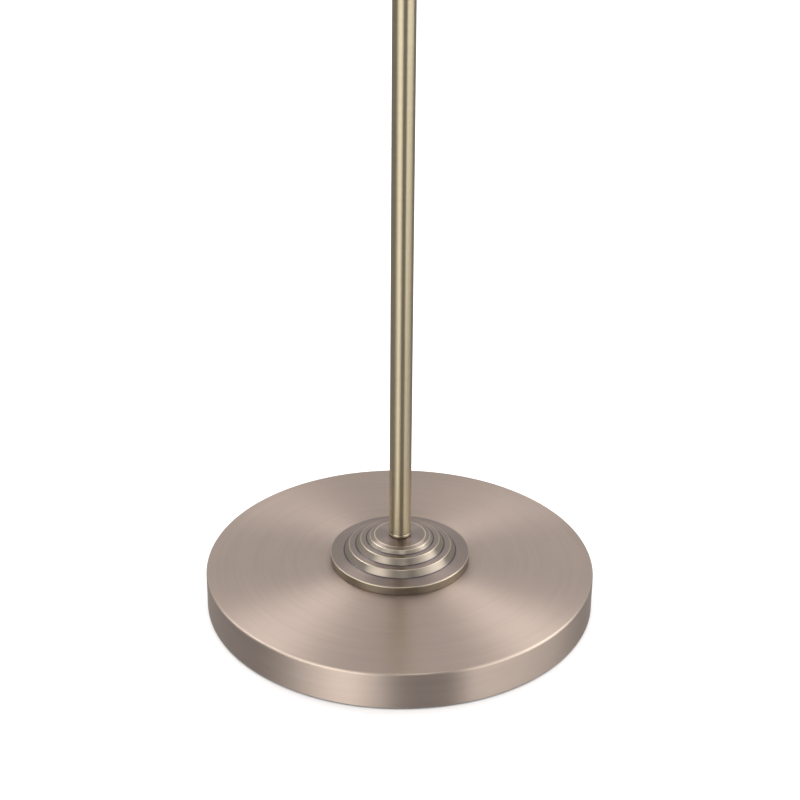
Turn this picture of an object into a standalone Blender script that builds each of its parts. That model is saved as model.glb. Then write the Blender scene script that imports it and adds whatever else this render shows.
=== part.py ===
"""Pharmacy floor lamp: a weighted round base, a telescoping pole, a tilting arm and a swivelling cowl shade.

Units are metres, +Z is up, and the origin is on the floor, on the pole's axis. The arm points along +X.
Each object is one real piece. The empties stand on the joint axes, and the moving pieces are parented to them.
"""

import math

import bmesh
import bpy
from mathutils import Matrix, Vector

MM = 0.001
GAP = 0.3 * MM  # between pieces that touch
RUNNING = 0.1 * MM  # radial clearance of a piece that slides or turns in a tube

# Base
BASE_RADIUS = 145 * MM
RIM_HEIGHT = 29.2 * MM  # floor to the flat edge of the cover's top
RIM_ROUND = 2.0 * MM
CROWN = 3.6 * MM  # how far the cover's top rises from the rim to the foot trim
SHEET = 1.2 * MM  # spun sheet of the cover and the foot trim
FELT_THICK = 1.5 * MM
TRIM_RADIUS = 52 * MM

# Poles
POLE_RADIUS = 8 * MM
POLE_WALL = 1 * MM
POLE_TOP = 700 * MM
MAST_RADIUS = 6 * MM
MAST_BOTTOM = 520 * MM
MAST_TOP = 1200 * MM
NIPPLE_RADIUS = 5 * MM
WIRE_BORE = 3 * MM

# Height clamp
COLLAR_BOTTOM = 672 * MM
COLLAR_TOP = 718 * MM
CLAMP_Z = 707.5 * MM

# Knuckle joints
DISC_INNER = 1.0 * MM  # half the gap between the two discs
DISC_THICK = 6.0 * MM
SHOULDER_REACH = 24 * MM  # pivot to the shoulder of a large knuckle
WRIST_REACH = 16 * MM
SHOULDER_LENGTH = 10 * MM
SPIGOT_RADIUS = 4.9 * MM
SPIGOT_LENGTH = 20 * MM
ARM_PIVOT = Vector((0, 0, MAST_TOP + GAP + SHOULDER_LENGTH + SHOULDER_REACH))

# Arm and head
ARM_LENGTH = 226 * MM  # arm pivot to head pivot
SOCKET_FACE = ARM_LENGTH - WRIST_REACH - SHOULDER_LENGTH - GAP  # open end of the swivel socket
SOCKET_DEPTH = 12 * MM
HEAD_PIVOT = ARM_PIVOT + Vector((ARM_LENGTH, 0, 0))
CUP_RADIUS = 21.5 * MM
CUP_BACK = 26.3 * MM  # distances along the head, measured from the head pivot
CUP_FRONT = 74 * MM
SHADE_LENGTH = 170 * MM
SHADE_RADIUS = 56 * MM
SHADE_WALL = 1.2 * MM
SHADE_SHOULDER = (29 * MM, 36 * MM)  # rounding at the back, across and along the shade
SHADE_NOSE = 46 * MM  # length of the rounded front end
SHADE_RIM_DROP = 28 * MM  # lamp axis down to the shade's open rim
SWITCH_AT = 58 * MM
BULB_RADIUS = 22.5 * MM

LARGE, MEDIUM, SMALL, TINY = 48, 24, 20, 12  # facets around a turned piece
FLUTES = 20  # columns of a knob's grip, every other one sunk

# Turns, in degrees, that lay a piece's own +Z along another direction
UPRIGHT = (0, 0, 0)
ALONG_X = (0, 90, 0)
ALONG_MINUS_X = (0, -90, 0)
ALONG_Y = (-90, 0, 0)
ALONG_MINUS_Y = (90, 0, 0)

FINISHES = {  # colour, metallic, roughness
    "antique_brass": ((0.42, 0.34, 0.27), 1.0, 0.34),
    "bright_brass": ((0.62, 0.51, 0.30), 1.0, 0.24),
    "steel": ((0.55, 0.56, 0.57), 1.0, 0.35),
    "cast_iron": ((0.09, 0.09, 0.10), 0.4, 0.7),
    "felt": ((0.03, 0.03, 0.03), 0.0, 0.95),
    "black_plastic": ((0.02, 0.02, 0.02), 0.0, 0.45),
    "nylon": ((0.8, 0.78, 0.72), 0.0, 0.5),
    "frosted_glass": ((0.95, 0.94, 0.9), 0.0, 0.3),
}


# ---------------------------------------------------------------- helpers


def finish(name, kind):
    """A piece's own material, of one of the finishes."""
    colour, metallic, roughness = FINISHES[kind]
    material = bpy.data.materials.new(name)
    material.use_nodes = True
    shader = material.node_tree.nodes["Principled BSDF"]
    shader.inputs["Base Color"].default_value = (*colour, 1)
    shader.inputs["Metallic"].default_value = metallic
    shader.inputs["Roughness"].default_value = roughness
    material.diffuse_color = (*colour, 1)
    return material


def pivot(name, location, parent=None):
    """An empty on a joint's axis. location is in world coordinates."""
    empty = bpy.data.objects.new(name, None)
    empty.empty_display_size = 0.02
    bpy.context.scene.collection.objects.link(empty)
    empty.location = Vector(location) - (world_of(parent) if parent else Vector())
    empty.parent = parent
    return empty


def world_of(empty):
    """Where an empty stands. Empties are never turned, so their places add up."""
    place = Vector()
    while empty is not None:
        place += empty.location
        empty = empty.parent
    return place


def piece(name, mesh_data, kind, parent=None, location=(0, 0, 0), turn=UPRIGHT):
    """An object from a bmesh, in its parent's frame. turn is in degrees about X, Y and Z."""
    bmesh.ops.recalc_face_normals(mesh_data, faces=mesh_data.faces)
    mesh = bpy.data.meshes.new(name)
    mesh_data.to_mesh(mesh)
    mesh_data.free()
    mesh.shade_smooth()
    mesh.set_sharp_from_angle(angle=math.radians(35))
    mesh.materials.append(finish(name, kind))
    obj = bpy.data.objects.new(name, mesh)
    bpy.context.scene.collection.objects.link(obj)
    obj.parent = parent
    obj.location = location
    obj.rotation_euler = [math.radians(angle) for angle in turn]
    return obj


def lathe(outline, facets, flute_depth=0.0, flute_from=math.inf):
    """A bmesh turned about Z from a closed outline of (radius, z) points.

    With flute_depth, every other column is pulled in where the radius is over flute_from, as a grip. The
    columns are set half a step round, so that a flat, not an edge, faces along X.
    """
    turned = bmesh.new()
    corners = [turned.verts.new((radius, 0, z)) for radius, z in outline]
    edges = [turned.edges.new(pair) for pair in zip(corners, corners[1:] + corners[:1])]
    bmesh.ops.spin(
        turned,
        geom=corners + edges,
        axis=(0, 0, 1),
        cent=(0, 0, 0),
        angle=math.tau,
        steps=facets,
        use_merge=True,
    )
    bmesh.ops.remove_doubles(turned, verts=turned.verts, dist=1e-6)
    bmesh.ops.dissolve_degenerate(turned, edges=turned.edges, dist=1e-7)
    on_axis = [edge for edge in turned.edges if edge.is_wire]
    bmesh.ops.delete(turned, geom=on_axis, context="EDGES")
    hubs = [vert for vert in turned.verts if len(vert.link_edges) == facets and is_flat(vert)]
    bmesh.ops.dissolve_verts(turned, verts=hubs)
    for vert in turned.verts:
        radius = math.hypot(vert.co.x, vert.co.y)
        if radius > flute_from:
            column = round(math.atan2(vert.co.y, vert.co.x) / math.tau * facets)
            if column % 2:
                shrink = (radius - flute_depth) / radius
                vert.co.x *= shrink
                vert.co.y *= shrink
    turned.transform(Matrix.Rotation(math.pi / facets, 4, "Z"))
    return turned


def is_flat(hub):
    """Whether a fan of faces around a vertex on the axis is level, so it can be one face."""
    return all(abs(edge.other_vert(hub).co.z - hub.co.z) < 1e-7 for edge in hub.link_edges)


def ring(inner, outer, low, high):
    """The outline of a plain ring or tube."""
    return [(inner, low), (outer, low), (outer, high), (inner, high)]


def rod(radius, low, high):
    """The outline of a plain round bar."""
    return [(0, low), (radius, low), (radius, high), (0, high)]


def arc(centre, radius, start, end, steps):
    """Points of (radius, z) along an arc, angles in degrees from the outward radius. radius may be a pair."""
    across, up = radius if isinstance(radius, tuple) else (radius, radius)
    angles = [math.radians(start + (end - start) * i / steps) for i in range(steps + 1)]
    return [(centre[0] + across * math.cos(a), centre[1] + up * math.sin(a)) for a in angles]


def box(low, high):
    """A bmesh box between two corners."""
    made = bmesh.new()
    size = Vector(high) - Vector(low)
    place = Matrix.Translation((Vector(high) + Vector(low)) / 2) @ Matrix.Diagonal((*size, 1))
    bmesh.ops.create_cube(made, size=1, matrix=place)
    return made


def prism(sides, radius, low, high):
    """A bmesh bar with flat sides, standing on Z, such as a hexagon nut."""
    made = bmesh.new()
    place = Matrix.Translation((0, 0, (low + high) / 2))
    bmesh.ops.create_cone(
        made,
        cap_ends=True,
        segments=sides,
        radius1=radius,
        radius2=radius,
        depth=high - low,
        matrix=place,
    )
    return made


def tool(name, mesh_data, parent=None, location=(0, 0, 0), turn=UPRIGHT):
    """A solid that isn't part of the lamp, but is cut from or joined to a piece of it."""
    obj = piece(name, mesh_data, "steel", parent, location, turn)
    obj.hide_render = True
    obj.display_type = "WIRE"
    return obj


def boolean(obj, operation, *tools):
    """Joins tools to obj, or cuts them from it."""
    for other in tools:
        modifier = obj.modifiers.new(f"{operation.lower()}_{other.name}", "BOOLEAN")
        modifier.operation = operation
        modifier.solver = "EXACT"
        modifier.object = other


# ---------------------------------------------------------------- base


def crown_height(radius):
    """Height of the cover's top: a shallow cone with a flat middle under the foot trim."""
    flat_edge = BASE_RADIUS - RIM_ROUND
    rise = (flat_edge - max(radius, TRIM_RADIUS)) / (flat_edge - TRIM_RADIUS)
    return RIM_HEIGHT + CROWN * math.sin(min(rise, 1) * math.pi / 2)


TRIM_FLOOR = crown_height(TRIM_RADIUS)
TRIM_STEPS = (  # riser foot radius, riser top radius, riser foot and top heights over the rim plane
    (41.6 * MM, 38.0 * MM, 11.4 * MM, 16.5 * MM),
    (32.9 * MM, 29.4 * MM, 16.8 * MM, 21.3 * MM),
    (24.9 * MM, 22.4 * MM, 21.3 * MM, 23.8 * MM),
)
TRIM_FLANGE = 10.4 * MM  # flange top over the rim plane
TRIM_TOP = RIM_HEIGHT + 24.8 * MM
TRIM_CAP_RADIUS = 19.0 * MM  # flat top of the last step


def cover_outline():
    """The spun cover: crowned top, rounded rim and straight skirt."""
    skirt_foot = FELT_THICK - GAP
    radii = [TRIM_RADIUS + (BASE_RADIUS - RIM_ROUND - TRIM_RADIUS) * i / 4 for i in range(5)]
    top = [(r, crown_height(r)) for r in radii]
    rim = arc((BASE_RADIUS - RIM_ROUND, RIM_HEIGHT - RIM_ROUND), RIM_ROUND, 90, 0, 4)[1:]
    outside = [(NIPPLE_RADIUS + GAP, TRIM_FLOOR), *top, *rim, (BASE_RADIUS, skirt_foot)]
    inside = [
        (BASE_RADIUS - SHEET, skirt_foot),
        (BASE_RADIUS - SHEET, RIM_HEIGHT - RIM_ROUND),
        (BASE_RADIUS - RIM_ROUND, RIM_HEIGHT - SHEET),
        (TRIM_RADIUS, TRIM_FLOOR - SHEET),
        (NIPPLE_RADIUS + GAP, TRIM_FLOOR - SHEET),
    ]
    return outside + inside


def trim_outline():
    """The stepped foot trim, a hollow spun cap. Its outside goes up three coned steps to the pole."""
    foot = TRIM_FLOOR + GAP
    flange = RIM_HEIGHT + TRIM_FLANGE
    outside = [(TRIM_RADIUS, foot), *arc((TRIM_RADIUS - MM, flange - MM), MM, 0, 90, 3)]
    inside = [(TRIM_RADIUS - SHEET, foot), (TRIM_RADIUS - SHEET, flange - SHEET)]
    for foot_radius, top_radius, low, high in TRIM_STEPS:
        edge = 0.5 * MM
        outside.append((foot_radius, RIM_HEIGHT + low))
        outside.append((top_radius + edge * 0.4, RIM_HEIGHT + high - edge))
        outside.append((top_radius - edge, RIM_HEIGHT + high))
        inside.append((foot_radius - SHEET, RIM_HEIGHT + low - SHEET))
        inside.append((top_radius - SHEET, RIM_HEIGHT + high - SHEET))
    outside += [(TRIM_CAP_RADIUS, TRIM_TOP), (NIPPLE_RADIUS + GAP, TRIM_TOP)]
    inside.append((NIPPLE_RADIUS + GAP, TRIM_TOP - SHEET))
    return outside + inside[::-1]


def build_base():
    nut_well = 20 * MM
    channel = 9 * MM
    plate_top = FELT_THICK + 1.5 * MM
    weight_low = plate_top + GAP
    weight_high = weight_low + 15 * MM
    weight_radius = BASE_RADIUS - 7 * MM
    well_top = weight_low + 9 * MM
    bush_z = weight_low + 6 * MM

    cover = piece("base_cover", lathe(cover_outline(), LARGE), "antique_brass")
    bush_place = (0, BASE_RADIUS, bush_z)
    hole = tool("cord_hole", lathe(rod(5 * MM, -8 * MM, 8 * MM), SMALL), None, bush_place, ALONG_Y)
    boolean(cover, "DIFFERENCE", hole)

    weight_outline = [
        (nut_well, weight_low),
        (weight_radius - MM, weight_low),
        (weight_radius, weight_low + MM),
        (weight_radius, weight_high - MM),
        (weight_radius - MM, weight_high),
        (NIPPLE_RADIUS + GAP, weight_high),
        (NIPPLE_RADIUS + GAP, well_top),
        (nut_well, well_top),
    ]
    weight = piece("base_weight", lathe(weight_outline, LARGE), "cast_iron")
    slot_low = (-channel / 2, nut_well - 5 * MM, weight_low - MM)
    slot_high = (channel / 2, weight_radius + MM, bush_z + channel / 2)
    boolean(weight, "DIFFERENCE", tool("cord_channel", box(slot_low, slot_high)))

    spacer = ring(NIPPLE_RADIUS + GAP, 15 * MM, weight_high + GAP, TRIM_FLOOR - SHEET - GAP)
    piece("cover_spacer", lathe(spacer, SMALL), "cast_iron")
    plate = rod(BASE_RADIUS - SHEET - GAP, FELT_THICK + GAP, plate_top)
    piece("base_plate", lathe(plate, LARGE), "black_plastic")
    felt = rod(BASE_RADIUS - 4 * MM, 0, FELT_THICK)
    piece("felt_pad", lathe(felt, LARGE), "felt")
    piece("foot_trim", lathe(trim_outline(), LARGE), "antique_brass")

    washer_top = well_top - GAP
    nut_top = washer_top - 1.5 * MM - GAP
    nipple = ring(WIRE_BORE, NIPPLE_RADIUS, plate_top + MM, TRIM_TOP + 18 * MM)
    piece("stem_nipple", lathe(nipple, SMALL), "steel")
    washer = ring(NIPPLE_RADIUS + GAP, 14 * MM, washer_top - 1.5 * MM, washer_top)
    piece("base_washer", lathe(washer, SMALL), "steel")
    nut = piece("base_nut", prism(6, 9.5 * MM, nut_top - 5 * MM, nut_top), "steel")
    nut_bore = rod(NIPPLE_RADIUS + GAP, nut_top - 6 * MM, nut_top + MM)
    boolean(nut, "DIFFERENCE", tool("nut_bore", lathe(nut_bore, SMALL)))

    bush_outline = [
        (3.4 * MM, -4 * MM),
        (4.6 * MM, -4 * MM),
        (4.6 * MM, GAP),
        (7.5 * MM, GAP),
        (7.5 * MM, 1.3 * MM),
        (6.2 * MM, 2.6 * MM),
        (3.4 * MM, 2.6 * MM),
    ]
    piece("cord_bush", lathe(bush_outline, SMALL), "black_plastic", None, bush_place, ALONG_Y)


# ---------------------------------------------------------------- lower pole and height clamp


def build_pole():
    foot = TRIM_TOP + GAP
    bead = 0.35 * MM
    outline = [
        (POLE_RADIUS - POLE_WALL, foot),
        (POLE_RADIUS - 0.3 * MM, foot),
        (POLE_RADIUS + bead, foot + 0.7 * MM),
        (POLE_RADIUS + bead, foot + 2.3 * MM),
        (POLE_RADIUS, foot + 3.0 * MM),
        (POLE_RADIUS, POLE_TOP),
        (POLE_RADIUS - POLE_WALL, POLE_TOP),
    ]
    piece("lower_pole", lathe(outline, MEDIUM), "antique_brass")
    plug_radius = POLE_RADIUS - POLE_WALL - RUNNING
    plug = ring(NIPPLE_RADIUS + RUNNING, plug_radius, foot + MM, foot + 20 * MM)
    piece("pole_plug", lathe(plug, MEDIUM), "steel")


def build_clamp():
    """The collar grips the lower pole and guides the mast. A thumb screw presses a shoe on the mast."""
    over_pole = POLE_RADIUS + GAP
    over_mast = MAST_RADIUS + GAP
    outline = [
        (over_pole, COLLAR_BOTTOM),
        (9.6 * MM, COLLAR_BOTTOM),
        (9.6 * MM, COLLAR_BOTTOM + 3 * MM),
        (10.8 * MM, COLLAR_BOTTOM + 4.5 * MM),
        (10.8 * MM, COLLAR_BOTTOM + 7 * MM),
        (12.0 * MM, COLLAR_BOTTOM + 8.5 * MM),
        (12.0 * MM, COLLAR_TOP - 4 * MM),
        (10.6 * MM, COLLAR_TOP - 2.6 * MM),
        (10.6 * MM, COLLAR_TOP - 1.4 * MM),
        (8.6 * MM, COLLAR_TOP),
        (over_mast, COLLAR_TOP),
        (over_mast, POLE_TOP + GAP),
        (over_pole, POLE_TOP + GAP),
    ]
    collar = piece("clamp_collar", lathe(outline, MEDIUM), "antique_brass")
    clamp_place = (0, 0, CLAMP_Z)
    grub_place = (0, 0, COLLAR_BOTTOM + 14 * MM)
    boss = lathe(rod(5 * MM, 9 * MM, 16 * MM), SMALL)
    screw_hole = lathe(rod(2.3 * MM, 4 * MM, 18 * MM), TINY)
    grub_hole = lathe(rod(1.9 * MM, 5 * MM, 14 * MM), TINY)
    boolean(collar, "UNION", tool("clamp_boss", boss, None, clamp_place, ALONG_MINUS_X))
    boolean(collar, "DIFFERENCE", tool("clamp_screw_hole", screw_hole, None, clamp_place, ALONG_MINUS_X))
    boolean(collar, "DIFFERENCE", tool("collar_screw_hole", grub_hole, None, grub_place, ALONG_Y))
    grub = lathe(rod(1.6 * MM, over_pole, 11.6 * MM), TINY)
    piece("collar_screw", grub, "steel", None, grub_place, ALONG_Y)

    shoe_pivot = pivot("clamp_shoe_slide", clamp_place)
    shoe = rod(2.0 * MM, over_mast, over_mast + 3 * MM)
    piece("clamp_shoe", lathe(shoe, TINY), "nylon", shoe_pivot, (0, 0, 0), ALONG_MINUS_X)
    knob_pivot = pivot("height_knob_turn", clamp_place, shoe_pivot)
    screw_tip = over_mast + 3 * MM + GAP
    knob = thumb_knob(screw_tip, 17 * MM, 2.0 * MM, 8.5 * MM, 12 * MM)
    piece("height_knob", knob, "antique_brass", knob_pivot, (0, 0, 0), ALONG_MINUS_X)


def thumb_knob(screw_tip, neck, screw_radius, radius, length):
    """A fluted knob with its own screw, turned about Z. neck is where its body starts."""
    outline = [
        (0, screw_tip),
        (screw_radius, screw_tip),
        (screw_radius, neck),
        (radius * 0.5, neck),
        (radius * 0.5, neck + 2 * MM),
        (radius - MM, neck + 2.5 * MM),
        (radius, neck + 3.5 * MM),
        (radius, neck + length - 1.5 * MM),
        (radius - MM, neck + length - 0.5 * MM),
        (radius * 0.55, neck + length),
        (0, neck + length + MM),
    ]
    return lathe(outline, FLUTES, 0.5 * MM, radius - 0.5 * MM)


# ---------------------------------------------------------------- knuckles


def knuckle_half(name, side, disc_radius, reach, parent, turn, spigot=SPIGOT_LENGTH):
    """One half of a tilting knuckle: a flat disc beside the pivot, a neck and a stepped shoulder on a spigot.

    In its own frame the pivot is the origin, the axis is Y, and the neck runs down -Z. side is -1 or 1.
    """
    near, far = sorted((side * DISC_INNER, side * (DISC_INNER + DISC_THICK)))
    shoulder = -reach
    foot = shoulder - SHOULDER_LENGTH
    base_radius = 8.5 * MM
    outline = [
        (0, shoulder),
        (base_radius - 2 * MM, shoulder),
        (base_radius, shoulder - 2 * MM),
        (base_radius, shoulder - 5 * MM),
        (base_radius - 1.2 * MM, shoulder - 6 * MM),
        (base_radius - 1.2 * MM, foot + 1.5 * MM),
        (base_radius - 2.0 * MM, foot),
        (SPIGOT_RADIUS, foot),
        (SPIGOT_RADIUS, foot - spigot),
        (0, foot - spigot),
    ]
    half = piece(name, lathe(outline, SMALL), "antique_brass", parent, (0, 0, 0), turn)
    edge = 0.6 * MM
    disc_outline = [
        (0, near),
        (disc_radius - edge, near),
        (disc_radius, near + edge),
        (disc_radius, far - edge),
        (disc_radius - edge, far),
        (0, far),
    ]
    neck_half = disc_radius * 0.42
    inset = 0.25 * MM
    neck_low = (-neck_half, near + inset, shoulder - 1.5 * MM)
    neck_high = (neck_half, far - inset, -disc_radius * 0.4)
    disc_turn = Matrix.Rotation(math.radians(-90), 4, "X")
    disc_mesh = lathe(disc_outline, SMALL)
    disc_mesh.transform(disc_turn)
    bore_mesh = lathe(rod(3.3 * MM, -12 * MM, 12 * MM), TINY)
    bore_mesh.transform(disc_turn)
    disc = tool(f"{name}_disc", disc_mesh, parent, (0, 0, 0), turn)
    neck = tool(f"{name}_neck", box(neck_low, neck_high), parent, (0, 0, 0), turn)
    boolean(half, "UNION", disc, neck)
    boolean(half, "DIFFERENCE", tool(f"{name}_bore", bore_mesh, parent, (0, 0, 0), turn))


def knuckle_hardware(prefix, mover, washer_pivot, knob_pivot, radius, length):
    """Friction washer and screw on one half, then the washer and the knob that close the joint from -Y."""
    face = DISC_INNER + DISC_THICK
    friction = ring(3.4 * MM, 8 * MM, -0.7 * MM, 0.7 * MM)
    piece(f"{prefix}_friction_washer", lathe(friction, SMALL), "nylon", mover, (0, 0, 0), ALONG_MINUS_Y)
    tip = face + 9 * MM
    screw = [
        (0, -face - 3.4 * MM),
        (3.6 * MM, -face - 3.4 * MM),
        (5 * MM, -face - 2.4 * MM),
        (5 * MM, -face - GAP),
        (3.0 * MM, -face - GAP),
        (3.0 * MM, tip),
        (0, tip),
    ]
    piece(f"{prefix}_screw", lathe(screw, TINY), "antique_brass", mover, (0, 0, 0), ALONG_MINUS_Y)
    washer_out = face + GAP + 1.2 * MM
    washer = ring(3.3 * MM, 7 * MM, face + GAP, washer_out)
    piece(f"{prefix}_washer", lathe(washer, SMALL), "steel", washer_pivot, (0, 0, 0), ALONG_MINUS_Y)
    low = washer_out + GAP
    knob = [
        (3.3 * MM, low),
        (radius * 0.6, low),
        (radius * 0.6, low + 2 * MM),
        (radius - MM, low + 2.5 * MM),
        (radius, low + 3.5 * MM),
        (radius, low + length - 1.5 * MM),
        (radius - MM, low + length - 0.5 * MM),
        (radius * 0.55, low + length),
        (0, low + length + MM),
        (0, tip + GAP),
        (3.3 * MM, tip + GAP),
    ]
    made = lathe(knob, FLUTES, 0.5 * MM, radius - 0.5 * MM)
    piece(f"{prefix}_knob", made, "antique_brass", knob_pivot, (0, 0, 0), ALONG_MINUS_Y)


# ---------------------------------------------------------------- mast and arm


def build_mast(carriage):
    """The mast slides in the lower pole on a nylon guide bush, which it can also turn in."""
    bush_inner = MAST_RADIUS + RUNNING
    bush_outer = POLE_RADIUS - POLE_WALL - RUNNING
    bush = ring(bush_inner, bush_outer, MAST_BOTTOM, MAST_BOTTOM + 25 * MM)
    piece("guide_bush", lathe(bush, MEDIUM), "nylon", carriage)

    mast = pivot("mast_turn", (0, 0, 0), carriage)
    tube = ring(MAST_RADIUS - POLE_WALL, MAST_RADIUS, MAST_BOTTOM, MAST_TOP)
    piece("upper_pole", lathe(tube, MEDIUM), "antique_brass", mast)
    stop = [
        (WIRE_BORE, MAST_BOTTOM - 3 * MM),
        (bush_outer - RUNNING, MAST_BOTTOM - 3 * MM),
        (bush_outer - RUNNING, MAST_BOTTOM - GAP),
        (SPIGOT_RADIUS, MAST_BOTTOM - GAP),
        (SPIGOT_RADIUS, MAST_BOTTOM + 12 * MM),
        (WIRE_BORE, MAST_BOTTOM + 12 * MM),
    ]
    piece("mast_stop", lathe(stop, SMALL), "bright_brass", mast)
    return mast


def build_arm(mast):
    knuckle = pivot("mast_knuckle_frame", ARM_PIVOT, mast)
    knuckle_half("mast_knuckle", -1, 12 * MM, SHOULDER_REACH, knuckle, UPRIGHT)
    washer_slide = pivot("tilt_washer_slide", ARM_PIVOT, mast)
    knob_turn = pivot("tilt_knob_turn", ARM_PIVOT, washer_slide)
    knuckle_hardware("tilt", knuckle, washer_slide, knob_turn, 9 * MM, 13 * MM)

    arm = pivot("arm_tilt", ARM_PIVOT, mast)
    knuckle_half("arm_knuckle", 1, 12 * MM, SHOULDER_REACH, arm, ALONG_MINUS_X)
    tube_start = SHOULDER_REACH + SHOULDER_LENGTH + GAP
    tube_end = SOCKET_FACE - 18 * MM
    tube = ring(MAST_RADIUS - POLE_WALL, MAST_RADIUS, tube_start, tube_end)
    piece("arm_tube", lathe(tube, MEDIUM), "antique_brass", arm, (0, 0, 0), ALONG_X)

    start = tube_end + GAP
    socket_outline = [
        (0, tube_end - 18 * MM),
        (SPIGOT_RADIUS, tube_end - 18 * MM),
        (SPIGOT_RADIUS, start),
        (7.2 * MM, start),
        (8.0 * MM, start + 1.5 * MM),
        (8.0 * MM, start + 4 * MM),
        (9.2 * MM, start + 5 * MM),
        (9.2 * MM, SOCKET_FACE - MM),
        (8.2 * MM, SOCKET_FACE),
        (5.0 * MM, SOCKET_FACE),
        (5.0 * MM, SOCKET_FACE - SOCKET_DEPTH),
        (0, SOCKET_FACE - SOCKET_DEPTH),
    ]
    socket = piece("swivel_socket", lathe(socket_outline, SMALL), "antique_brass", arm, (0, 0, 0), ALONG_X)
    screw_at = (SOCKET_FACE - 5 * MM, 0, 0)
    hole = lathe(rod(1.5 * MM, 4 * MM, 12 * MM), TINY)
    boolean(socket, "DIFFERENCE", tool("swivel_screw_hole", hole, arm, screw_at, ALONG_Y))
    grub = rod(1.2 * MM, 5.0 * MM, 8.8 * MM)
    piece("swivel_screw", lathe(grub, TINY), "steel", arm, screw_at, ALONG_Y)
    return arm


def build_wrist(arm):
    """The wrist turns about the arm's axis and carries the head's tilting knuckle."""
    wrist = pivot("wrist_turn", HEAD_PIVOT, arm)
    reach_in = SOCKET_DEPTH - MM
    knuckle_half("wrist_knuckle", -1, 10.5 * MM, WRIST_REACH, wrist, ALONG_X, reach_in)
    return wrist


# ---------------------------------------------------------------- head


def shade_curve(radius, inset):
    """One skin of the cowl from back to nose: a rounded shoulder, a straight barrel and a rounded nose."""
    across, along = SHADE_SHOULDER
    back = arc((radius - across, along), (across, along - inset), -90, 0, 5)
    front = arc((0, SHADE_LENGTH - SHADE_NOSE), (radius, SHADE_NOSE - inset), 0, 90, 7)
    return back + front


def shade_outline():
    """Outline of the whole turned cowl about its own axis, before its lower part is cut away."""
    hole = 17.9 * MM
    outside = shade_curve(SHADE_RADIUS, 0)
    inside = shade_curve(SHADE_RADIUS - SHADE_WALL, SHADE_WALL)
    return [(hole, 0), *outside, *inside[::-1], (hole, SHADE_WALL)]


def cup_outline():
    """The turned cup behind the shade, stepped like the foot trim."""
    wall = MM
    outside = [
        (5.2 * MM, CUP_BACK),
        (10 * MM, CUP_BACK),
        (11 * MM, CUP_BACK + MM),
        (12.5 * MM, CUP_BACK + 5 * MM),
        (15.5 * MM, CUP_BACK + 5.8 * MM),
        (17 * MM, CUP_BACK + 10 * MM),
        (20 * MM, CUP_BACK + 10.8 * MM),
        (CUP_RADIUS, CUP_BACK + 15 * MM),
        (CUP_RADIUS, CUP_FRONT),
    ]
    inside = [
        (CUP_RADIUS - wall, CUP_FRONT),
        (CUP_RADIUS - wall, CUP_BACK + 15.4 * MM),
        (19 * MM, CUP_BACK + 11.8 * MM),
        (16 * MM, CUP_BACK + 11 * MM),
        (14.5 * MM, CUP_BACK + 6.8 * MM),
        (11.5 * MM, CUP_BACK + 6 * MM),
        (10 * MM, CUP_BACK + wall),
        (5.2 * MM, CUP_BACK + wall),
    ]
    return outside + inside


def build_holder(head):
    """Lamp holder, its screw shell and contact, and the ring that clamps the shade to the cup."""
    back = CUP_BACK + 20 * MM
    front = CUP_FRONT + 12 * MM
    seat = back + 8 * MM
    outline = [
        (0, back),
        (15 * MM, back),
        (17 * MM, back + 2 * MM),
        (17.5 * MM, back + 4 * MM),
        (17.5 * MM, front - MM),
        (16.5 * MM, front),
        (14.4 * MM, front),
        (14.4 * MM, seat),
        (0, seat),
    ]
    holder = piece("lamp_holder", lathe(outline, MEDIUM), "black_plastic", head, (0, 0, 0), ALONG_X)
    shaft_hole = lathe(rod(2.2 * MM, 15 * MM, 25 * MM), TINY)
    shaft = tool("switch_shaft_hole", shaft_hole, head, (SWITCH_AT, 0, 0))
    boolean(holder, "DIFFERENCE", shaft)

    shell = ring(13.5 * MM, 14.1 * MM, seat + GAP + 3 * MM, front - 3 * MM)
    piece("screw_shell", lathe(shell, MEDIUM), "bright_brass", head, (0, 0, 0), ALONG_X)
    contact = rod(3.5 * MM, seat + GAP, seat + 1.6 * MM)
    piece("centre_contact", lathe(contact, TINY), "bright_brass", head, (0, 0, 0), ALONG_X)
    clamp = CUP_FRONT + GAP + SHADE_WALL + GAP
    nut = ring(17.8 * MM, 22 * MM, clamp, clamp + 6 * MM)
    made = lathe(nut, 2 * FLUTES, 0.6 * MM, 21 * MM)
    piece("shade_ring", made, "black_plastic", head, (0, 0, 0), ALONG_X)
    return seat, shaft


def build_bulb(head, seat):
    """A small round lamp on a 26 mm screw cap."""
    cap_back = seat + 2.6 * MM
    cap_front = CUP_FRONT + 4 * MM
    cap = [
        (0, cap_back - GAP),
        (4.5 * MM, cap_back - GAP),
        (5.5 * MM, cap_back + MM),
        (10.5 * MM, cap_back + 3 * MM),
        (13.0 * MM, cap_back + 5 * MM),
        (13.0 * MM, cap_front),
        (12.4 * MM, cap_front),
        (12.4 * MM, cap_back + 5.3 * MM),
        (10.2 * MM, cap_back + 3.6 * MM),
        (0, cap_back + 3.6 * MM),
    ]
    piece("bulb_cap", lathe(cap, MEDIUM), "steel", head, (0, 0, 0), ALONG_X)
    glass_back = cap_front + GAP
    centre = glass_back + 42 * MM
    wall = MM
    bowl = arc((0, centre), BULB_RADIUS, -50, 90, 7)
    inner = arc((0, centre), BULB_RADIUS - wall, -50, 90, 7)
    glass = [(12.2 * MM, glass_back), (12.4 * MM, glass_back + 10 * MM), *bowl]
    glass += [*inner[::-1], (11.4 * MM, glass_back + 10 * MM), (11.2 * MM, glass_back)]
    piece("bulb_glass", lathe(glass, MEDIUM), "frosted_glass", head, (0, 0, 0), ALONG_X)


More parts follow.
